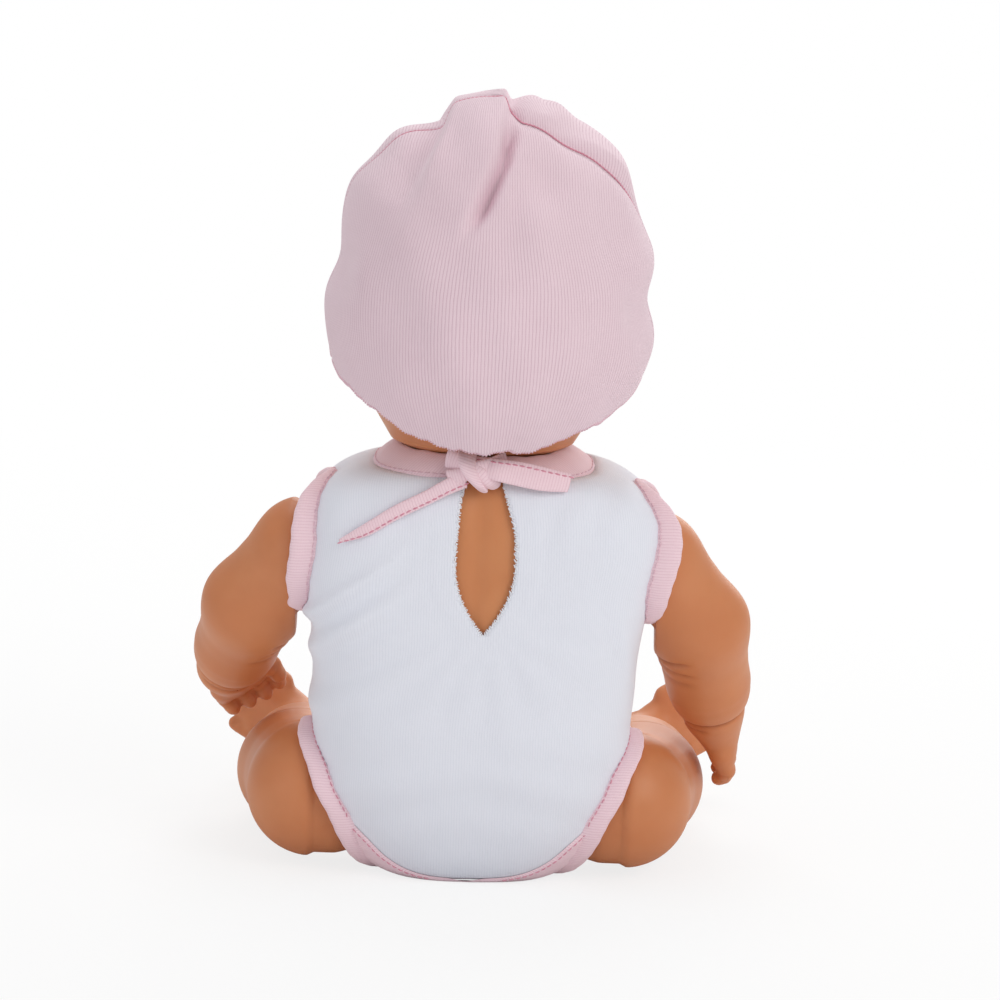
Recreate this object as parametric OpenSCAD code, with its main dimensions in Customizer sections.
// Interactive baby doll, seated, in a sleeveless knitted bodysuit and a knotted hat.
// Millimetres. The doll faces -Y, its left side is +X, and it sits on the plane z = 0.

/* [Clothed body] */
// Half width of the patch of cloth that the doll sits on
seat_w = 19; // [16:1:22]
// Half depth of the same patch
seat_d = 15; // [12:1:18]
// Height of the widest part of the hips
hip_z = 48; // [46:1:50]
// Half width at the hips
hip_w = 51; // [49:1:54]
// Depth of the back at the hips
hip_back = 37; // [35:1:40]
// Depth of the belly at the hips
hip_front = 40; // [38:1:43]
// Height of the waist
waist_z = 66; // [64:1:69]
// Half width at the waist
waist_w = 52; // [50:1:54]
// Depth of the back at the waist
waist_back = 36; // [35:1:38]
// Depth of the belly at the waist
waist_front = 41; // [39:1:43]
// Height where the shoulders begin to round off
shoulder_z = 110; // [107:1:113]
// Half width at the shoulders
shoulder_w = 53.5; // [52:0.5:54.5]
// Depth of the back at the shoulders
shoulder_back = 32; // [30:1:34]
// Depth of the chest at the shoulders
shoulder_front = 32; // [30:1:34]
// Height of the collar seam
collar_z = 134; // [133:0.5:136]
// Half width of the collar seam
collar_w = 36; // [34:1:38]
// Half depth of the collar seam
collar_d = 25; // [24:1:27]
// Squareness of the body's cross-section, where 2 is an ellipse
body_square = 2.7; // [2.4:0.1:3]

/* [Cloth] */
// Thickness of the knitted cloth
cloth_t = 1.2; // [0.8:0.1:1.4]
// Room between the cloth and the hard torso
cloth_gap = 0.5; // [0.3:0.1:0.8]
// Thickness of the folded binding
binding_t = 1.5; // [1.2:0.1:1.8]
// Width of the armhole binding at the back
arm_binding_w = 8; // [5:0.5:9]
// Width of the leg binding
leg_binding_w = 5; // [4:0.5:5.5]
// Height of the neck binding
neck_binding_h = 5.5; // [4:0.5:6]
// Half width of the keyhole opening
keyhole_w = 9.5; // [7:0.5:11]
// Height of the keyhole's lower point
keyhole_z = 81; // [78:1:90]
// Width of the tie tails
tie_w = 4.2; // [3:0.2:5]

/* [Hard torso] */
// Wall of the torso and of the head
wall_t = 2; // [1.6:0.1:2.4]
// Half width of the pelvis between the hip faces
pelvis_w = 33; // [32:0.5:34]
// Thickness of each socket ring
ring_t = 3; // [2.4:0.2:3.4]
// Radius of the shoulder and hip socket bores
socket_r = 12; // [10:0.5:13]
// Radius of the neck bore
neck_bore_r = 14; // [12:0.5:15]
// Radial running clearance of a plug in its bore
run_gap = 0.05; // [0.03:0.01:0.08]
// Axial play of a plug against its ring
play_gap = 0.3; // [0.2:0.05:0.4]
// Gap between a limb's end face and the torso
face_gap = 0.5; // [0.4:0.05:0.7]
// Thickness of a plug's flange
flange_t = 2.2; // [1.8:0.1:2.6]
// Depth of the groove along the spine
spine_groove = 1.2; // [0.6:0.1:1.6]

/* [Arms] */
// Height of the shoulder axis
arm_axis_z = 103; // [102:0.5:105]
// Distance of the shoulder's outer socket face from the middle
arm_face_x = 47.5; // [47:0.5:48.5]
// Radius of the shoulder
arm_root_r = 16.2; // [15.5:0.1:16.3]
// Radius of the elbow
elbow_r = 16.2; // [15:0.2:17]
// Radius of the wrist
wrist_r = 9.6; // [9:0.2:10.5]
// Length from shoulder to elbow
upper_arm_len = 28.5; // [27:0.5:30]
// Length from elbow to wrist
forearm_len = 40; // [38:0.5:41]
// Length of the palm
palm_len = 15; // [14:0.5:16]
// Half width of the palm
palm_w = 9; // [8:0.5:10]
// Length of the middle finger
finger_len = 15; // [13:0.5:16]
// Radius of a finger
finger_r = 3.1; // [2.8:0.1:3.4]

/* [Legs] */
// Height of the hip axis
leg_axis_z = 24; // [24:0.5:25]
// Radius of the hip
leg_root_r = 20.6; // [20:0.1:20.8]
// Radius of the knee
knee_r = 19; // [18:0.2:19.4]
// Radius of the calf
calf_r = 16.5; // [16:0.2:18]
// Radius of the ankle
ankle_r = 11.5; // [10.5:0.2:12]
// Length from hip to knee
thigh_len = 42.5; // [41:0.5:44]
// Length from knee to ankle
shin_len = 48; // [46:0.5:50]
// Length from heel to the roots of the toes
foot_len = 25; // [23:0.5:27]
// Half width of the foot at the toes
foot_w = 10.5; // [9.5:0.5:11]
// Length of the big toe
toe_len = 7; // [6:0.5:8]

/* [Head] */
// Height of the middle of the head
head_z = 187; // [186:1:189]
// Half width of the head
head_w = 47; // [46:0.5:48]
// Half depth of the head
head_d = 49; // [48:0.5:50]
// Height of the crown above the middle of the head
head_up = 54; // [52:0.5:56]
// Depth of the chin below the middle of the head
head_down = 51; // [50:0.5:51]
// Radius of the neck
neck_r = 22; // [21.5:0.5:24]
// Radius of an eye
eye_r = 8; // [7:0.2:8.4]
// Angle of each eye from the middle of the face
eye_angle = 23; // [21:0.5:25]
// Height of the eyes below the middle of the head
eye_drop = 4; // [2:0.5:6]

/* [Hat] */
// Half width of the hat
hat_w = 52.8; // [52:0.2:54]
// Half depth of the hat
hat_d = 54.5; // [54:0.5:56]
// Height of the hat above the middle of the head
hat_up = 65; // [63:0.5:68]
// Roundness of the hat below the middle of the head
hat_down = 60; // [58:1:64]
// Thickness of the hat's knit
hat_t = 1.6; // [1.2:0.1:2]
// Height of the pleat and of the gathered peak it runs into
peak_h = 4; // [3:0.5:5]
// Radius of the gathered peak
peak_r = 11; // [9:0.5:13]
// Height of the hem at the nape
hem_back_z = 145; // [144.5:0.5:150]
// Height of the hem over the forehead
hem_front_z = 207; // [204:1:212]

/* [Sound module] */
// Height of the battery box's middle
battery_z = 49; // [48:0.5:51]
// Length of a battery cell
cell_len = 44.5; // [43.5:0.5:44.5]
// Radius of a battery cell
cell_r = 5.2; // [5:0.05:5.25]
// Radius of the press button
button_r = 9; // [7:0.5:10]
// Height of the press button
button_z = 62; // [60:0.5:64]
// Travel of the press button
button_travel = 1.5; // [1:0.1:2]
// Radius of the speaker
speaker_r = 17; // [15:0.5:18]
// Height of the speaker
speaker_z = 94; // [93:0.5:96]
// Travel of the power switch
switch_travel = 4; // [2:0.5:5]

/* [Hidden] */

EPS = 0.01;
SKIN = "#c98b5e";
PINK = "#eec8d2";
WHITE = "#f4f5f8";

// ---- general shapes -------------------------------------------------------------

// A quarter circle from 0 to 1
function arc_rise(t) = sqrt(max(0, 1 - pow(1 - t, 2)));
// A soft step from 0 to 1
function ease(t) = (1 - cos(180 * min(1, max(0, t)))) / 2;
function mix(a, b, t) = a + (b - a) * t;
// A point of a superellipse
function super_point(angle, w, d, square) = [
    w * sign(cos(angle)) * pow(abs(cos(angle)), 2 / square),
    d * sign(sin(angle)) * pow(abs(sin(angle)), 2 / square)];
// A round bump of height 1, with its middle at 0
function bump(distance, spread) = exp(-pow(distance / spread, 2));

// Faces of a grid of rows by columns of points, numbered from start
function grid_faces(rows, columns, start, flip) = [for (r = [0:rows - 2], c = [0:columns - 2])
    let (a = start + r * columns + c, b = a + 1, d = a + columns, e = d + 1)
    each flip ? [[a, e, b], [a, d, e]] : [[a, b, e], [a, e, d]]];
// Faces that close the gap between two rows of points
function strip_faces(near, far) = [for (i = [0:len(near) - 2])
    each [[near[i], far[i], far[i + 1]], [near[i], far[i + 1], near[i + 1]]]];

// A sheet with two faces: outer and inner are grids of the same size
module sheet(outer, inner) {
    rows = len(outer);
    columns = len(outer[0]);
    count = rows * columns;
    first = [for (c = [0:columns - 1]) c];
    last = [for (c = [0:columns - 1]) (rows - 1) * columns + c];
    left = [for (r = [0:rows - 1]) r * columns];
    right = [for (r = [0:rows - 1]) r * columns + columns - 1];
    faces = concat(
        grid_faces(rows, columns, 0, false),
        grid_faces(rows, columns, count, true),
        strip_faces(first, [for (i = first) i + count]),
        strip_faces([for (i = last) i + count], last),
        strip_faces([for (i = left) i + count], left),
        strip_faces(right, [for (i = right) i + count]));
    polyhedron(points = concat([for (row = outer) each row], [for (row = inner) each row]), faces = faces);
}

// A band that runs round in a loop: each section is a closed row of corner points
module loop_band(sections) {
    count = len(sections);
    corners = len(sections[0]);
    polyhedron(points = [for (section = sections) each section],
        faces = [for (i = [0:count - 1], c = [0:corners - 1])
            let (n = (i + 1) % count, m = (c + 1) % corners,
                a = i * corners + c, b = i * corners + m, d = n * corners + c, e = n * corners + m)
            each [[a, e, b], [a, d, e]]]);
}

// A bar with flat ends: each section is a closed row of corner points
module bar(sections) {
    count = len(sections);
    corners = len(sections[0]);
    polyhedron(points = [for (section = sections) each section],
        faces = concat(
            [[for (c = [corners - 1:-1:0]) c]],
            [[for (c = [0:corners - 1]) (count - 1) * corners + c]],
            [for (i = [0:count - 2], c = [0:corners - 1])
                let (m = (c + 1) % corners,
                    a = i * corners + c, b = i * corners + m,
                    d = a + corners, e = b + corners)
                each [[a, b, e], [a, e, d]]]));
}

// A cylinder along X, from x1 to x2
module rod_x(x1, x2, r) translate([x1, 0, 0]) rotate([0, 90, 0]) cylinder(h = x2 - x1, r = r, $fn = 64);
// A cylinder along Y, from y1 to y2
module rod_y(y1, y2, r) translate([0, y2, 0]) rotate([90, 0, 0]) cylinder(h = y2 - y1, r = r, $fn = 64);
// A cylinder along Z, from z1 to z2
module rod_z(z1, z2, r) translate([0, 0, z1]) cylinder(h = z2 - z1, r = r, $fn = 64);
// The doll's left side as drawn, or its right side mirrored
module on_side(side) if (side > 0) children(); else mirror([1, 0, 0]) children();

// ---- form of the clothed body ---------------------------------------------------

// A body size at height z, from its values at the seat, hips, waist, shoulders and collar
function swell(z, seat, hip, waist, shoulder, collar) =
    z <= hip_z ? mix(seat, hip, arc_rise(max(0, z) / hip_z)) :
    z <= waist_z ? mix(hip, waist, ease((z - hip_z) / (waist_z - hip_z))) :
    z <= shoulder_z ? mix(waist, shoulder, ease((z - waist_z) / (shoulder_z - waist_z))) :
    mix(collar, shoulder, arc_rise((collar_z - z) / (collar_z - shoulder_z)));
function body_w(z) = swell(z, seat_w, hip_w, waist_w, shoulder_w, collar_w);
function body_back(z) = swell(z, seat_d, hip_back, waist_back, shoulder_back, collar_d);
function body_front(z) = swell(z, seat_d - 2, hip_front, waist_front, shoulder_front, collar_d);
function body_depth(z, back) = back ? body_back(z) : body_front(z);

// Armhole and leg opening, as loops in the YZ plane
arm_hole_z = arm_axis_z + 3.5;
arm_hole_up = arm_root_r + 6.3;
arm_hole_y = arm_root_r + 2.9;
leg_hole_r = leg_root_r + binding_t + 1.4;
// The full limbs start this far out: nearer in, only their round roots fit in the openings
arm_clear_x = shoulder_w + arm_binding_w - 3.7;
leg_clear_x = 49.4;
LOOP_STEP = 22.5;
LOOP_ANGLES = [for (a = [-90:LOOP_STEP:90]) a];

// Rows of the panels: [height, depth of the opening at the side]
PANEL_ROWS = concat(
    [[0, 0]],
    [for (a = LOOP_ANGLES) [leg_axis_z + leg_hole_r * sin(a), leg_hole_r * cos(a)]],
    [[mix(hip_z, waist_z, 0.6), 0], [mix(hip_z, waist_z, 1.5), 0]],
    [for (a = LOOP_ANGLES) [arm_hole_z + arm_hole_up * sin(a), arm_hole_y * cos(a)]],
    [[mix(collar_z, arm_hole_z + arm_hole_up, 0.5), 0], [collar_z, 0]]);
PANEL_COLUMNS = 14;

// Angle on the superellipse where the sideways opening ends
function edge_angle(opening, depth) = asin(pow(min(1, opening / depth), body_square / 2));
function panel_row(z, opening, back, inset) =
    let (w = body_w(z) - inset, d = body_depth(z, back) - inset,
        start = opening < EPS ? 0 : edge_angle(opening, d), span = 180 - 2 * start)
    [for (c = [0:PANEL_COLUMNS])
        let (p = super_point(start + span * c / PANEL_COLUMNS, w, d, body_square))
        [p[0], back ? p[1] : -p[1], z]];
// Depth of the back's outer face at a place on it
function back_y(x, z) = body_back(z) * pow(max(0, 1 - pow(abs(x) / body_w(z), body_square)), 1 / body_square);
// Half width of the body at a place on its side
function side_x(y, z, back) =
    body_w(z) * pow(max(0, 1 - pow(abs(y) / body_depth(z, back), body_square)), 1 / body_square);

module panel(back) {
    outer = [for (row = PANEL_ROWS) panel_row(row[0], row[1], back, 0)];
    inner = [for (row = PANEL_ROWS) panel_row(row[0], row[1], back, cloth_t)];
    if (back) sheet(inner, outer); else sheet(outer, inner);
}

keyhole_top = collar_z - 2;
// The keyhole's outline in the XZ plane: two arcs that meet in a point
module keyhole_outline() {
    middle = mix(keyhole_z, keyhole_top, 0.6);
    polygon(concat(
        [for (a = [0:15:180]) [keyhole_w * cos(a), middle + (keyhole_top - middle) * sin(a)]],
        [for (t = [0:0.125:1]) [-keyhole_w * (1 - t * t), mix(middle, keyhole_z, t)]],
        [for (t = [0.875:-0.125:0.125]) [keyhole_w * (1 - t * t), mix(middle, keyhole_z, t)]]));
}

module bodysuit_back() color(WHITE) difference() {
    panel(true);
    rotate([90, 0, 0]) translate([0, 0, -hip_back - 20]) linear_extrude(hip_back + 20) keyhole_outline();
}
module bodysuit_front() color(WHITE) panel(false);

module neck_binding() color(PINK) {
    lean = neck_binding_h * 0.8;
    lean_y = min(lean, collar_d - binding_t - neck_r - 0.9);
    loop_band([for (a = [0:12:348])
        let (low = super_point(a, collar_w, collar_d, body_square),
            top = super_point(a, collar_w - lean, collar_d - lean_y, 2.2),
            inner_top = super_point(a, collar_w - lean - binding_t, collar_d - lean_y - binding_t, 2.2),
            inner_low = super_point(a, collar_w - binding_t, collar_d - binding_t, body_square))
        [[low[0], low[1], collar_z], [inner_low[0], inner_low[1], collar_z],
            [inner_top[0], inner_top[1], collar_z + neck_binding_h - 0.4],
            [top[0], top[1], collar_z + neck_binding_h]]]);
}

knot_x = -1;
knot_z = collar_z + 1;
knot_y = body_back(collar_z) + 6.7;
knot_r = 4.2;
// The knot: three turns of the tie lying over each other
module tie_knot() color(PINK) translate([knot_x, knot_y, knot_z]) hull() {
    for (turn = [[-3, -1.5, -1], [3, -1.5, 1], [0, 0.8, -2.5], [0.5, 0.8, 2.5]])
        translate(turn) sphere(r = knot_r - 1, $fn = 20);
}

// A flat tail of cloth that lies along the back from the knot
module tail(points, width) {
    half = width / 2;
    thick = binding_t;
    bar([for (p = points) [[p[0], p[1], p[2] - half], [p[0], p[1], p[2] + half],
        [p[0], p[1] + thick, p[2] + half], [p[0], p[1] + thick, p[2] - half]]]);
}
tail_lift = 0.35;
tail_start = knot_r + 2.1;
tail_left_end = [45, 112.5];
tail_right_end = [-27, 132];
function tail_path(from_x, from_z, end) = [for (t = [0:0.2:1])
    let (x = mix(from_x, end[0], t), z = mix(from_z, end[1], t))
    [x, max(back_y(x, z), back_y(x, z - tie_w / 2)) + tail_lift + 2 * pow(1 - t, 2), z]];
module tie_tail_left() color(PINK) tail(tail_path(knot_x + tail_start, knot_z - 1.5, tail_left_end), tie_w);
module tie_tail_right() color(PINK)
    mirror([1, 0, 0]) tail([for (p = tail_path(knot_x - tail_start, knot_z - 1, tail_right_end))
        [-p[0], p[1], p[2]]], tie_w + 0.8);

// Points of an opening's loop: up the back of the body and down its front
function opening_loop(middle, up, across) = concat(
    [for (a = [-90:LOOP_STEP:90]) [across * cos(a), middle + up * sin(a), true]],
    [for (a = [90 - LOOP_STEP:-LOOP_STEP:-90 + LOOP_STEP]) [-across * cos(a), middle + up * sin(a), false]]);

// A cuff round an opening. reach says how far out it goes at each depth y, and limit how far in front
module cuff(loop, middle, across, up, reach, limit) {
    loop_band([for (p = loop)
        let (inner_y = p[0] * (across - binding_t) / across,
            inner_z = middle + (p[1] - middle) * (up - binding_t) / up,
            most = p[2] ? 100 : limit,
            seam = min(side_x(p[0], p[1], p[2]) - cloth_t / 2, most - 1),
            inner_seam = min(side_x(inner_y, inner_z, p[2]) - cloth_t / 2, most - 1),
            out = reach[0] + max(0, reach[1] * p[0] / across))
        [[seam, p[0], p[1]], [inner_seam, inner_y, inner_z],
            [min(inner_seam + out, most), inner_y, inner_z], [min(seam + out, most), p[0], p[1]]]]);
}
module armhole_cuff() cuff(opening_loop(arm_hole_z, arm_hole_up, arm_hole_y), arm_hole_z, arm_hole_y,
    arm_hole_up, [2.8, arm_binding_w - 2.8], arm_clear_x);
module armhole_binding_left() color(PINK) armhole_cuff();
module armhole_binding_right() color(PINK) mirror([1, 0, 0]) armhole_cuff();

module leg_binding() color(PINK) {
    for (side = [1, -1]) on_side(side)
        cuff(opening_loop(leg_axis_z, leg_hole_r, leg_hole_r), leg_axis_z, leg_hole_r, leg_hole_r,
            [leg_binding_w, 0], leg_clear_x - play_gap);
    crotch_strip();
}
// The strip under the seat that joins the two leg openings
module crotch_strip() {
    inner = seat_d - cloth_t;
    translate([-seat_w + 5, -inner + 4, 0]) cube([2 * seat_w - 10, 2 * inner - 8, cloth_t]);
}
module crotch_snaps() color(WHITE)
    for (i = [-1:1]) translate([i * seat_w / 2.2, 0, cloth_t]) cylinder(h = 0.8, r = 2.6, $fn = 32);

// ---- hard torso -----------------------------------------------------------------

skin_inset = cloth_t + cloth_gap + 0.2;
hard_bottom = 2 * cloth_t + cloth_gap + 0.3;
hard_top = collar_z - 3;
pelvis_top = leg_axis_z + leg_root_r - 1;
ring_r = socket_r + 6;
flange_r = socket_r + 3.5;
root_gap = 0.8;
neck_ring_r = neck_bore_r + 4;
neck_face_z = hard_top + 2;
function hard_w(z) = let (full = body_w(z) - skin_inset)
    min(full, mix(pelvis_w, full, ease((z - pelvis_top) / 14)));
function hard_depth(z, back) = body_depth(z, back) - skin_inset;
// Depth of the torso's face at a place, drawn in by inset
function hard_y(x, z, inset, back) = (hard_depth(z, back) - inset)
    * pow(1 - pow(abs(x) / (hard_w(z) - inset), body_square), 1 / body_square);
// Depth at which a boss of radius r, with its middle at x and z, ends inside the wall
function boss_end(x, z, r, back) = min([for (dx = [-r, r], dz = [-r, r]) hard_y(x + dx, z + dz, 0, back)]) - 0.4;
module front_boss(x, z, r, end_y) translate([x, 0, z]) rod_y(-boss_end(x, z, r, false), end_y, r);

HARD_HEIGHTS = [7, 12, 20, 30, 40, 46, 52, 58, 68, 80, 92, 104, 112, 119, 125, 129];
HARD_COLUMNS = 16;
// Rows of a torso half: [height, half width, depth, squareness]. A half's edges run a little past the
// parting plane, where it is cut off
function hard_rows(back, inset) = concat(
    [[hard_bottom + inset, hard_w(hard_bottom) * 0.6, 0, body_square],
        [hard_bottom + inset, hard_w(hard_bottom) - inset, hard_depth(hard_bottom, back) - inset, body_square]],
    [for (z = HARD_HEIGHTS) [z, hard_w(z) - inset, hard_depth(z, back) - inset, body_square]],
    [[hard_top - inset, hard_w(hard_top) - inset, hard_depth(hard_top, back) - inset, 2.4],
        [hard_top - inset, neck_ring_r - 0.5, neck_ring_r - 0.5, 2]]);
function hard_grid(back, inset, groove) = [for (row = hard_rows(back, inset))
    [for (c = [0:HARD_COLUMNS])
        let (p = super_point(180 * c / HARD_COLUMNS, row[1], row[2], row[3]),
            dip = c == HARD_COLUMNS / 2 && row[0] > waist_z && row[0] < hard_top ? groove : 0)
        [p[0], (back ? 1 : -1) * (row[2] == 0 || c % HARD_COLUMNS == 0 ? -1 : p[1] - dip), row[0]]]];

module hard_shell(back) {
    outer = hard_grid(back, 0, back ? spine_groove : 0);
    inner = hard_grid(back, wall_t, 0);
    if (back) sheet(inner, outer); else sheet(outer, inner);
}
// What lies in front of the parting plane, or behind it
module half_space(back) translate([-100, back ? 0 : -100, -50]) cube([200, 100, 300]);

// The plates that the shoulder and hip plugs turn in
module socket_plates() {
    for (side = [1, -1]) on_side(side) {
        translate([0, 0, arm_axis_z]) rod_x(arm_face_x - ring_t, arm_face_x, ring_r);
        translate([0, 0, leg_axis_z]) rod_x(pelvis_w - ring_t, pelvis_w, ring_r);
    }
    rod_z(neck_face_z - ring_t, neck_face_z, neck_ring_r);
}
module socket_bores() {
    for (side = [1, -1]) on_side(side) {
        translate([0, 0, arm_axis_z]) {
            rod_x(arm_face_x - ring_t - 1, arm_face_x + 1, socket_r);
            rod_x(arm_face_x, arm_face_x + 12, arm_root_r + root_gap);
        }
        translate([0, 0, leg_axis_z]) {
            rod_x(pelvis_w - ring_t - 1, pelvis_w + 1, socket_r);
            rod_x(pelvis_w, pelvis_w + 20, leg_root_r + root_gap);
            rod_x(pelvis_w - ring_t - flange_t - 2 * play_gap, pelvis_w - ring_t, flange_r + play_gap);
        }
    }
    rod_z(neck_face_z - ring_t - 1, neck_face_z + 1, neck_bore_r);
}

SCREW_PLACES = [[27, 117], [-27, 117], [20, 19], [-20, 19]];
screw_seat_y = 12;
screw_r = 1.3;
screw_head_r = 2.9;
screw_len = 24;
screw_gap = 0.1;
boss_r = 5;

module at_screws() for (place = SCREW_PLACES) translate([place[0], 0, place[1]]) children();

// ---- sound module: sizes shared by the torso and the pieces it holds --------------

cell_pitch = 2 * cell_r + 0.8;
contact_t = 0.5;
spring_room = 3.2;
box_half_x = 1.5 * cell_pitch + 0.2;
box_half_z = (cell_len + spring_room) / 2 + contact_t;
box_wall = 1.6;
box_floor_y = 18;
door_ledge = 2.4;
door_half_x = box_half_x + door_ledge;
door_half_z = box_half_z + door_ledge;
door_gap = 0.3;
door_screw_z = battery_z + box_half_z + door_ledge / 2 - 0.2;

belly_y = hard_depth(button_z, false);
button_face_y = -(hard_depth(button_z - button_r, false) * 0.99 + 0.25);
button_gap = 0.25;
flange_face_y = -(belly_y - wall_t - 0.9);
button_flange_r = button_r + 1.5;
guide_r = button_flange_r + 0.3;
board_y = -17.6;
board_t = 1.6;
board_half_x = 20;
board_low = button_z - 11;
board_high = button_z + 14;
BOARD_BOSSES = [[16, 4], [-16, 4], [16, 21], [-16, 21]];
switch_body = 6;
switch_h = 3.5;
plunger_r = 1.7;
plunger_h = 1.4;
plunger_tip_y = board_y - switch_h - plunger_h;

speaker_seat_y = -(hard_depth(speaker_z + speaker_r, false) - wall_t - 0.8);
speaker_rim_t = 1.5;
retainer_t = 1.4;
retainer_r = speaker_r + 2;
ear_x = speaker_r + 4.4;

power_x = door_half_x + box_wall + 6;
power_z = battery_z + 14;
knob_w = 3;
knob_h = 3.6;
slot_half_x = knob_w / 2 + 0.25;
slot_half_z = (knob_h + switch_travel) / 2 + 0.3;
power_face_y = hard_y(power_x + slot_half_x + 1.6, power_z, wall_t, true) - 0.15;
power_body = [slot_half_x + 1.6, 4.6, slot_half_z + 2];

module front_structure() {
    for (place = SCREW_PLACES) front_boss(place[0], place[1], boss_r, 1);
    front_boss(0, button_z, guide_r + box_wall, flange_face_y + 6);
    front_boss(0, speaker_z, retainer_r, speaker_seat_y);
    for (side = [1, -1]) front_boss(side * ear_x, speaker_z, 3, speaker_seat_y + speaker_rim_t);
    for (boss = BOARD_BOSSES) front_boss(boss[0], board_low + boss[1], 2.6, board_y);
}
module front_cuts() {
    at_screws() rod_y(screw_seat_y - screw_len - 2, 1, screw_r + screw_gap);
    translate([0, 0, button_z]) {
        rod_y(-60, -20, button_r + button_gap);
        rod_y(flange_face_y - 0.4, -20, guide_r);
    }
    translate([0, 0, speaker_z]) {
        rod_y(-hard_depth(speaker_z, false) + wall_t + 0.6, -10, speaker_r - 2.5);
        speaker_holes();
    }
    for (side = [1, -1]) translate([side * ear_x, 0, speaker_z])
        rod_y(speaker_seat_y - 4, -10, 1);
    for (boss = BOARD_BOSSES) translate([boss[0], 0, board_low + boss[1]])
        rod_y(board_y - 6, board_y + 1, 0.9);
}
// A hole in the middle and two rings of holes
module speaker_holes() for (ring = [0:2]) {
    count = max(1, 6 * ring);
    for (i = [0:count - 1]) rotate([0, 360 * i / count, 0]) translate([ring * 5, 0, 0]) rod_y(-60, -20, 1.1);
}

module torso_front() color(SKIN) difference() {
    intersection() {
        half_space(false);
        union() {
            hard_shell(false);
            front_structure();
            socket_plates();
        }
    }
    socket_bores();
    front_cuts();
}

module battery_space(half_x, half_z, y1, y2)
    translate([-half_x, y1, battery_z - half_z]) cube([2 * half_x, y2 - y1, 2 * half_z]);
// Points of the back over the battery box, drawn in by inset
BACK_STEPS = [-1:1 / 3:1];
function back_grid(half_x, half_z, inset) = [for (v = BACK_STEPS) [for (u = BACK_STEPS)
    [u * half_x, hard_y(u * half_x, battery_z + v * half_z, inset, true), battery_z + v * half_z]]];
function flat_grid(half_x, half_z, y) = [for (v = BACK_STEPS) [for (u = BACK_STEPS)
    [u * half_x, y, battery_z + v * half_z]]];

module rear_structure() {
    for (place = SCREW_PLACES) translate([place[0], 0, place[1]])
        rod_y(-1, boss_end(place[0], place[1], boss_r, true), boss_r);
    frame_x = door_half_x + box_wall;
    frame_z = door_half_z + box_wall;
    sheet(back_grid(frame_x, frame_z, wall_t / 2), flat_grid(frame_x, frame_z, box_floor_y - box_wall));
}
module rear_cuts() {
    at_screws() {
        rod_y(-1, 60, screw_r + 2 * screw_gap);
        rod_y(screw_seat_y, 60, screw_head_r + 0.3);
    }
    battery_space(box_half_x, box_half_z, box_floor_y, 60);
    space_x = door_half_x + door_gap;
    space_z = door_half_z + door_gap;
    sheet(flat_grid(space_x, space_z, 60), back_grid(space_x, space_z, wall_t));
    translate([0, 0, door_screw_z]) rod_y(hard_depth(door_screw_z, true) - 8, 60, 0.8);
    translate([power_x - slot_half_x, 20, power_z - slot_half_z]) cube([2 * slot_half_x, 20, 2 * slot_half_z]);
}

module torso_rear() color(SKIN) difference() {
    intersection() {
        half_space(true);
        union() {
            hard_shell(true);
            rear_structure();
            socket_plates();
        }
    }
    socket_bores();
    rear_cuts();
}

module screw(head_r, head_h, shank_r, shank_len) {
    rod_y(0, head_h, head_r);
    rod_y(-shank_len, 0, shank_r);
}
module housing_screws() color("silver")
    at_screws() translate([0, screw_seat_y, 0]) screw(screw_head_r, 2, screw_r, screw_len);

module battery_door() color(SKIN) difference() {
    sheet(back_grid(door_half_x, door_half_z, 0), back_grid(door_half_x, door_half_z, wall_t));
    translate([0, 0, door_screw_z]) rod_y(10, 60, 1);
    translate([0, 0, door_screw_z]) rod_y(hard_depth(door_screw_z, true) - 1, 60, 2.1);
}
module door_screw() color("silver")
    translate([0, hard_depth(door_screw_z, true) - 1, door_screw_z]) screw(2, 0.8, 0.75, 5);

// Each cell stands along Z, and the middle one is the other way up
module at_cells() for (i = [-1:1]) translate([i * cell_pitch, box_floor_y + cell_r, battery_z])
    mirror([0, 0, i == 0 ? 1 : 0]) children();
cell_start = box_half_z - contact_t - cell_len;
nub_h = 0.8;
module battery_cells() color("goldenrod") at_cells() {
    rod_z(cell_start, cell_start + cell_len - nub_h, cell_r);
    rod_z(cell_start + cell_len - nub_h, cell_start + cell_len, 1.9);
}
// A coil along Z from z = 0, with its radius going from r1 to r2
module coil(r1, r2, length, turns, wire_r) {
    steps = 8 * turns;
    bar([for (i = [0:steps])
        let (t = i / steps, a = 45 * i, r = mix(r1, r2, t), z = mix(wire_r, length - wire_r, t))
        [for (c = [0:4]) let (b = 72 * c)
            [(r + wire_r * cos(b)) * cos(a), (r + wire_r * cos(b)) * sin(a), z + wire_r * sin(b)]]]);
}
module battery_springs() color("silver") at_cells()
    translate([0, 0, cell_start - spring_room]) coil(4, 2.2, spring_room, 3, 0.35);
module battery_contacts() color("silver") for (end = [0, 1]) translate([0, 0, battery_z]) mirror([0, 0, end])
    translate([-box_half_x + 0.4, box_floor_y + 0.4, box_half_z - contact_t])
        cube([2 * box_half_x - 0.8, 2 * cell_r - 0.8, contact_t]);

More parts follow.
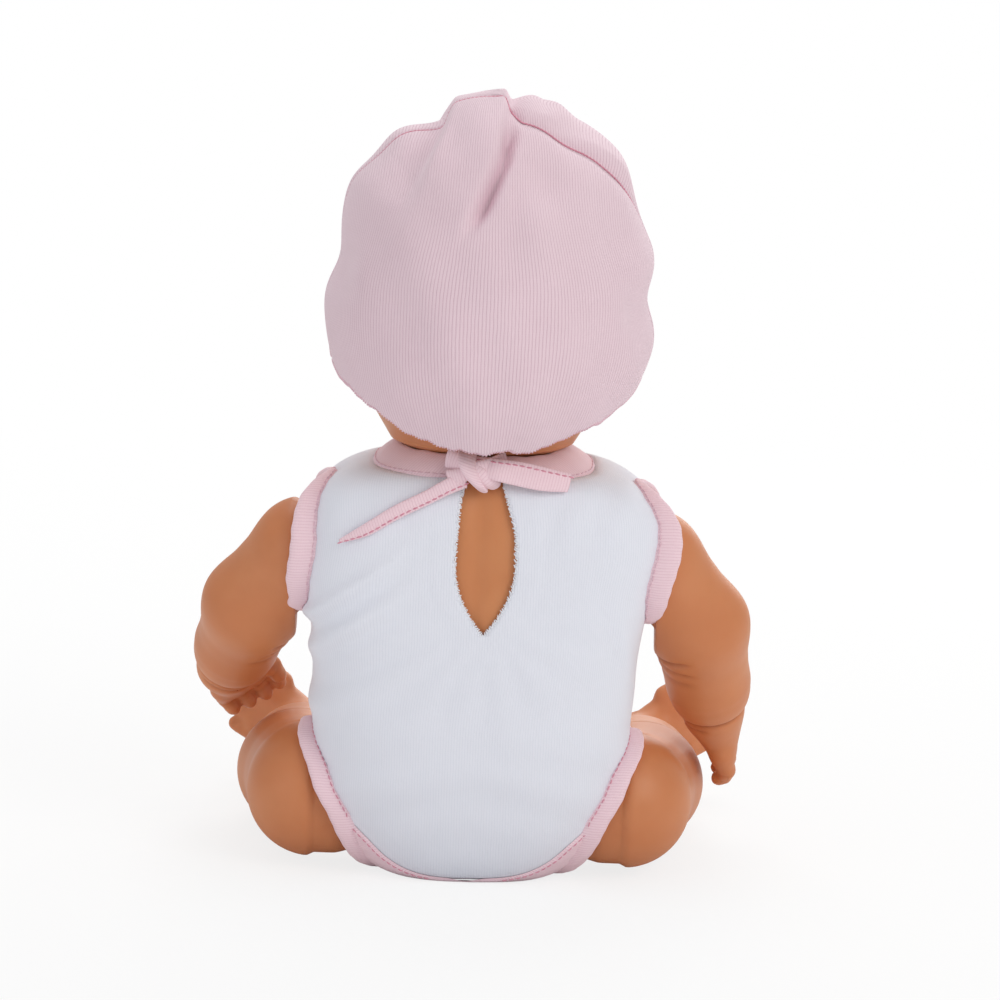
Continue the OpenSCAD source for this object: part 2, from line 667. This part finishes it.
module circuit_board() color("darkgreen") difference() {
    translate([-board_half_x, board_y, board_low]) cube([2 * board_half_x, board_t, board_high - board_low]);
    for (boss = BOARD_BOSSES) translate([boss[0], 0, board_low + boss[1]]) rod_y(board_y - 1, 0, 1.1);
}
module board_screws() color("silver") for (boss = BOARD_BOSSES)
    translate([boss[0], board_y + board_t, board_low + boss[1]]) screw(1.8, 1.2, 0.85, 6);
module sound_chip() color("black") translate([8, board_y + board_t, button_z + 8]) rotate([-90, 0, 0])
    cylinder(h = 1.4, r1 = 4.5, r2 = 3, $fn = 48);
module tact_switch() color("dimgray") translate([0, 0, button_z]) {
    translate([-switch_body / 2, board_y - switch_h, -switch_body / 2])
        cube([switch_body, switch_h, switch_body]);
    rod_y(plunger_tip_y, board_y - switch_h, plunger_r);
}
module press_button() color(SKIN) translate([0, 0, button_z]) {
    rotate([90, 0, 0]) rotate_extrude($fn = 64) polygon([
        [0, -flange_face_y - 1.2], [button_flange_r, -flange_face_y - 1.2], [button_flange_r, -flange_face_y],
        [button_r, -flange_face_y], [button_r, -button_face_y - 0.8], [button_r - 1.5, -button_face_y - 0.2],
        [0, -button_face_y]]);
    rod_y(flange_face_y + 0.6, plunger_tip_y - button_travel, 2.4);
}
module button_spring() color("silver") translate([0, flange_face_y + 1.2, button_z]) rotate([-90, 0, 0])
    coil(5.8, 5.8, board_y - flange_face_y - 1.2, 5, 0.45);

module speaker() color("dimgray") translate([0, 0, speaker_z]) rotate([-90, 0, 0])
    translate([0, 0, speaker_seat_y]) rotate_extrude($fn = 64) polygon([
        [0, 1.2], [speaker_r - 4, 0.4], [speaker_r - 2, 0], [speaker_r, 0], [speaker_r, speaker_rim_t],
        [speaker_r - 3.2, speaker_rim_t], [speaker_r * 0.55, 5], [speaker_r * 0.5, 5], [speaker_r * 0.5, 8.6],
        [0, 8.6]]);
module speaker_retainer() color("gray") difference() {
    translate([0, 0, speaker_z]) union() {
        rod_y(speaker_seat_y + speaker_rim_t, speaker_seat_y + speaker_rim_t + retainer_t, retainer_r - 0.5);
        for (side = [1, -1]) translate([side * ear_x, 0, 0])
            rod_y(speaker_seat_y + speaker_rim_t, speaker_seat_y + speaker_rim_t + retainer_t, 3.4);
    }
    translate([0, 0, speaker_z]) rod_y(-60, 0, speaker_r - 3);
    for (side = [1, -1]) translate([side * ear_x, 0, speaker_z]) rod_y(-60, 0, 1.2);
}
module retainer_screws() color("silver") for (side = [1, -1])
    translate([side * ear_x, speaker_seat_y + speaker_rim_t + retainer_t, speaker_z])
        screw(2, 1.2, 0.95, 5);

module power_switch_housing() color("black") difference() {
    translate([power_x - power_body[0], power_face_y - power_body[1], power_z - power_body[2]])
        cube([2 * power_body[0], power_body[1], 2 * power_body[2]]);
    translate([power_x - slot_half_x, power_face_y - 2, power_z - slot_half_z])
        cube([2 * slot_half_x, 3, 2 * slot_half_z]);
}
// The knob stands at the off end of its slot
module power_switch_knob() color("ivory")
    translate([power_x - knob_w / 2, power_face_y - 1.95, power_z - (knob_h + switch_travel) / 2])
        cube([knob_w, 1.95 + wall_t, knob_h]);

// ---- plugs ----------------------------------------------------------------------

// A plug along Z: flange inside the ring, journal in its bore, seat and stem in the limb.
// The ring's outer face is z = 0.
stem_r = socket_r - 4;
stem_len = 10;
module limb_plug() {
    rotate_extrude($fn = 96) polygon([
        [0, -ring_t - play_gap - flange_t], [flange_r, -ring_t - play_gap - flange_t],
        [flange_r, -ring_t - play_gap], [socket_r - run_gap, -ring_t - play_gap],
        [socket_r - run_gap, face_gap], [stem_r, face_gap], [stem_r, face_gap + stem_len - 1],
        [stem_r - 1, face_gap + stem_len], [0, face_gap + stem_len]]);
}
module shoulder_plug(side) color("lightgray") on_side(side)
    translate([arm_face_x, 0, arm_axis_z]) rotate([0, 90, 0]) limb_plug();
module shoulder_plug_left() shoulder_plug(1);
module shoulder_plug_right() shoulder_plug(-1);
module hip_plug(side) color("lightgray") on_side(side)
    translate([pelvis_w, 0, leg_axis_z]) rotate([0, 90, 0]) limb_plug();
module hip_plug_left() hip_plug(1);
module hip_plug_right() hip_plug(-1);

head_rim_z = neck_face_z + face_gap + 0.8;
neck_lip_r = neck_r - 0.6;
neck_spigot_r = neck_r - wall_t - 1.2;
module neck_plug() color("lightgray") translate([0, 0, neck_face_z]) rotate_extrude($fn = 96) polygon([
    [0, -ring_t - play_gap - flange_t], [neck_bore_r + 3, -ring_t - play_gap - flange_t],
    [neck_bore_r + 3, -ring_t - play_gap], [neck_bore_r - run_gap, -ring_t - play_gap],
    [neck_bore_r - run_gap, face_gap], [neck_lip_r, face_gap], [neck_lip_r, face_gap + 0.8],
    [neck_spigot_r, face_gap + 0.8], [neck_spigot_r, face_gap + 5], [0, face_gap + 5]]);

// ---- head -----------------------------------------------------------------------

head_wall = 3;
eye_z = head_z - eye_drop;
eye_proud = 2.4;
// How far the face stands out at an angle from its middle and a height
function face_relief(a, z) =
    6.5 * bump(a, 9) * bump(z - (head_z - 12), 7)
    + 3 * bump(abs(a) - 30, 15) * bump(z - (head_z - 20), 11)
    + 3.5 * bump(a, 16) * bump(z - (head_z - 37), 7)
    + 2.4 * bump(a, 12) * bump(z - (head_z - 24), 4.5)
    + 1.5 * bump(a, 34) * bump(z - (head_z + 22), 16)
    - 2.2 * bump(abs(a) - eye_angle, 11) * bump(z - eye_z, 8)
    + 2.4 * bump(abs(a) - 96, 8) * bump(z - (head_z - 9), 9);
function head_share(z) = let (t = z > head_z ? (z - head_z) / head_up : (head_z - z) / head_down)
    pow(max(0, 1 - pow(t, 2.2)), 1 / 2.2);
function turned(a) = a > 180 ? a - 360 : a;
// A point of the head: a is the angle from the middle of the face to the doll's left
function head_point(a, z, inset) =
    let (w = max(neck_r, head_w * head_share(z)) - inset,
        d = max(neck_r, head_d * head_share(z)) - inset,
        relief = inset > 0 ? 0 : face_relief(turned(a), z))
    [(w + relief) * sin(a), -(d + relief) * cos(a), z];
HEAD_STEP = 12;
function head_ring(z, inset) = [for (a = [0:HEAD_STEP:359]) head_point(a, z, inset)];
HEAD_SHARES = [0.93, 0.8, 0.66, 0.52, 0.38, 0.26, 0.14, 0];
FACE_DROPS = [5, 10, 15, 20, 24, 28, 33, 38, 43, 47];
head_apex = head_z + head_up * 0.985;
module head_shell() color(SKIN) difference() {
    bar(concat(
        [head_ring(head_apex, 0)],
        [for (s = HEAD_SHARES) head_ring(head_z + head_up * s, 0)],
        [for (drop = FACE_DROPS) head_ring(head_z - drop, 0)],
        [head_ring(head_rim_z, 0), head_ring(head_rim_z, head_wall)],
        [for (drop = [46, 40, 30, 20, 0, -20, -36]) head_ring(head_z - drop, head_wall)],
        [head_ring(head_apex - head_wall, head_wall * 0.5)]));
    for (side = [1, -1]) on_side(side) at_eye() sphere(r = eye_r + 0.1, $fn = 64);
}
// Puts the middle of the left eye at the origin, looking along -Y
module at_eye() {
    face = head_point(eye_angle, eye_z, 0);
    sink = eye_r - eye_proud;
    translate([face[0] - sink * sin(eye_angle), face[1] + sink * cos(eye_angle), eye_z])
        rotate([0, 0, eye_angle]) children();
}
module eye(side) color("white") on_side(side) at_eye() difference() {
    sphere(r = eye_r, $fn = 64);
    translate([-eye_r - 1, 0, -eye_r - 1]) cube(2 * eye_r + 2);
}
module eye_left() eye(1);
module eye_right() eye(-1);

// ---- hat ------------------------------------------------------------------------

hat_mid_y = 1;
hat_power = 0.92;
peak_x = 2;
HAT_COLUMNS = 14;
crown_angle = 87;
HAT_ROWS = 12;
// 0 below low, 1 above high, and a smooth rise between them
function soft_step(low, high, v) = let (t = min(1, max(0, (v - low) / (high - low)))) t * t * (3 - 2 * t);
// How far the cloth stands off the plain cap: a pleat that widens down the back, the hollow beside it
// and a fold that crosses the front, all of them fading down the cap and into the peak
function hat_fold(x, y, z) =
    let (back = soft_step(-14, 6, y), top = head_z + hat_up - z,
        left = 11 + top * 0.42, right = -8 + max(0, top - 11) * 0.52,
        pleat = soft_step(right - 3, right + 3, x) * (1 - soft_step(left - 4, left + 4.5, x)),
        hollow = soft_step(left - 2, left + 5, x) * (1 - soft_step(left + 9, left + 24, x)),
        folds = peak_h * (1.05 * soft_step(45, 12, top) * pleat * (0.35 + 0.65 * back)
            - 0.8 * hollow * soft_step(30, 9, top) - 0.6 * bump(x + 17, 11) * bump(top - 21, 9) * back
            + 0.6 * bump(x + 22, 14) * bump(y + 9, 8) * soft_step(27, 12, top)
            - 0.7 * soft_step(40, 50, x) * bump(top - 45, 13)))
    mix(folds, peak_h, 1 - soft_step(peak_r * 0.6, peak_r * 1.4, norm([x - peak_x, y])));
function hem_z(a) = mix(hem_front_z, hem_back_z, pow((1 - cos(a)) / 2, 0.6));
// A point of the hat: a from the middle of the face, v from the hem at 0 to the crown at 1
function hat_point(a, v, inset) =
    let (hem = hem_z(a), span = hem < head_z ? hat_down : hat_up,
        up = mix(asin((hem - head_z) / span), crown_angle, v),
        reach = pow(max(0, cos(up)), hat_power),
        x = (hat_w - inset) * reach * sin(a), y = hat_mid_y - (hat_d - inset) * reach * cos(a),
        z = head_z + sin(up) * ((up < 0 ? hat_down : hat_up) - inset * v),
        out = [x / pow(hat_w, 2), (y - hat_mid_y) / pow(hat_d, 2), (z - head_z) / pow(hat_up, 2)])
    [x, y, z] + out * hat_fold(x, y, z) / norm(out);
function hat_grid(start, inset) = [for (r = [0:HAT_ROWS])
    [for (c = [0:HAT_COLUMNS]) hat_point(start + 180 * c / HAT_COLUMNS, r / HAT_ROWS, inset)]];
module hat_panel(start) color(PINK) sheet(hat_grid(start, hat_t), hat_grid(start, 0));
module hat_back_panel() hat_panel(90);
module hat_front_panel() hat_panel(-90);
// The gathered peak fills the open crown and stands a little above it
module hat_peak() color(PINK) {
    crown = hat_point(0, 1, 0)[2];
    hole = hat_d * pow(cos(crown_angle), hat_power);
    translate([0, hat_mid_y, crown]) rotate_extrude($fn = 48) polygon([
        [0, -hat_t], [hole - 0.3, -hat_t], [hole - 0.3, 0.4], [hole + 2, 0.6], [hole + 2.5, 1.4],
        [hole + 0.5, 2.4], [0, 2.8]]);
}

// ---- limbs ----------------------------------------------------------------------

LIMB_FN = 16;
DIGIT_FN = 8;
// The direction that droops below the level and turns forward from straight out
function heading(droop, forward) =
    [cos(droop) * cos(forward), -cos(droop) * sin(forward), -sin(droop)];
// The direction across a limb that points along d, rolled about it
function across_of(d, roll) =
    let (side = cross(d, [0, 0, 1]) / norm(cross(d, [0, 0, 1])), up = cross(side, d))
    side * cos(roll) + up * sin(roll);
module link(a, ra, b, rb, fn) hull() {
    translate(a) sphere(r = ra, $fn = fn);
    translate(b) sphere(r = rb, $fn = fn);
}
// What has to stay free for the torso: all but a round root up to clear_x
module torso_room(axis_z, root_r, clear_x) translate([0, 0, axis_z]) difference() {
    rod_x(0, clear_x, 120);
    rod_x(-1, clear_x + 1, root_r);
}

// One arm, drawn as a left one. Each of upper, fore and hand is [droop, forward]
module arm(upper, fore, hand, roll) {
    shoulder = [arm_face_x + face_gap + 7.5, 0, arm_axis_z];
    elbow = shoulder + heading(upper[0], upper[1]) * upper_arm_len;
    wrist = elbow + heading(fore[0], fore[1]) * forearm_len;
    along = heading(hand[0], hand[1]);
    across = across_of(along, roll);
    palm = -cross(along, across);
    knuckles = wrist + along * palm_len;
    difference() {
        union() {
            hull() {
                translate([arm_face_x + face_gap, 0, arm_axis_z]) rod_x(0, 2, arm_root_r - 1);
                translate(shoulder) sphere(r = arm_root_r, $fn = LIMB_FN);
            }
            link(shoulder, arm_root_r, elbow, elbow_r, LIMB_FN);
            link(elbow, elbow_r, wrist, wrist_r, LIMB_FN);
            hull() {
                translate(wrist) sphere(r = wrist_r - 1, $fn = LIMB_FN);
                for (s = [-1, 1]) translate(knuckles + across * s * (palm_w - 3)) sphere(r = 4.6, $fn = 12);
            }
            for (i = [0:3]) {
                root = knuckles + across * palm_w * (i - 1.5) * 0.56;
                reach = finger_len * (i == 1 ? 1 : i == 3 ? 0.8 : 0.92);
                middle = root + (along + across * (i - 1.5) * 0.14) * reach * 0.5;
                link(root, finger_r + 0.3, middle, finger_r, DIGIT_FN);
                link(middle, finger_r, middle + (along + palm * 0.8) * reach * 0.36, finger_r - 0.5, DIGIT_FN);
            }
            thumb = wrist + along * palm_len * 0.45 - across * palm_w * 0.8 + palm * 2;
            joint = thumb + (along * 0.5 - across * 0.7 + palm * 0.3) * 6.5;
            link(thumb, finger_r + 0.8, joint, finger_r + 0.2, DIGIT_FN);
            link(joint, finger_r + 0.2, joint + (along * 0.8 + palm * 0.4) * 4.5, finger_r - 0.3, DIGIT_FN);
        }
        torso_room(arm_axis_z, arm_root_r, arm_clear_x);
        translate([0, 0, arm_axis_z]) rod_x(0, arm_face_x + face_gap, 60);
        translate([0, 0, arm_axis_z]) rod_x(0, arm_face_x + face_gap + stem_len + 0.1, stem_r + 0.1);
    }
}
module arm_left() color(SKIN) arm([47.5, 31], [43.5, 72], [28.5, 110], 221);
module arm_right() color(SKIN) mirror([1, 0, 0]) arm([50, 26], [58, 71], [49.5, 67], 252);

// The leg, drawn as a left one: it goes out from the hip and then forward
module leg() {
    hip = [pelvis_w + 17, 0, leg_axis_z];
    knee = hip + heading(6, 81) * thigh_len;
    calf = knee + heading(1, 91) * shin_len * 0.4;
    ankle = knee + heading(3, 92.5) * shin_len;
    toward = heading(-30, 5);
    across = [-sin(30), 0, cos(30)];
    heel = ankle + [-3, -7, -2];
    ball = heel + toward * foot_len;
    difference() {
        union() {
            hull() {
                translate([pelvis_w + face_gap, 0, leg_axis_z]) rod_x(0, 2, ring_r - 0.5);
                translate(hip) sphere(r = leg_root_r, $fn = LIMB_FN);
            }
            link(hip, leg_root_r, knee, knee_r, LIMB_FN);
            link(knee, knee_r, calf, calf_r, LIMB_FN);
            link(calf, calf_r, ankle, ankle_r, LIMB_FN);
            link(ankle, ankle_r, heel, ankle_r - 1, LIMB_FN);
            hull() {
                translate(heel) sphere(r = ankle_r - 1.5, $fn = LIMB_FN);
                translate(ball + across * (foot_w - 5)) sphere(r = 6.6, $fn = 14);
                translate(ball - across * (foot_w - 4) - toward * 2) sphere(r = 5.2, $fn = 14);
            }
            for (i = [0:4]) {
                root = ball + across * foot_w * (1 - i * 0.5) - toward * (i == 4 ? 2 : 0);
                radius = i == 0 ? 4.4 : 3.2 - 0.15 * i;
                link(root, radius, root + toward * (i == 0 ? toe_len : toe_len - 0.4 - 0.5 * i),
                    radius - 0.3, DIGIT_FN);
            }
        }
        torso_room(leg_axis_z, leg_root_r, leg_clear_x);
        translate([0, 0, leg_axis_z]) rod_x(0, pelvis_w + face_gap, 60);
        translate([0, 0, leg_axis_z]) rod_x(0, pelvis_w + face_gap + stem_len + 0.1, stem_r + 0.1);
    }
}
module leg_left() color(SKIN) leg();
module leg_right() color(SKIN) mirror([1, 0, 0]) leg();

// ---- the doll -------------------------------------------------------------------

torso_front();
torso_rear();
housing_screws();
neck_plug();
head_shell();
eye_left();
eye_right();
hat_back_panel();
hat_front_panel();
hat_peak();
shoulder_plug_left();
shoulder_plug_right();
arm_left();
arm_right();
hip_plug_left();
hip_plug_right();
leg_left();
leg_right();
bodysuit_back();
bodysuit_front();
neck_binding();
tie_knot();
tie_tail_left();
tie_tail_right();
armhole_binding_left();
armhole_binding_right();
leg_binding();
crotch_snaps();
battery_door();
door_screw();
battery_cells();
battery_springs();
battery_contacts();
circuit_board();
board_screws();
sound_chip();
tact_switch();
press_button();
button_spring();
speaker();
speaker_retainer();
retainer_screws();
power_switch_housing();
power_switch_knob();
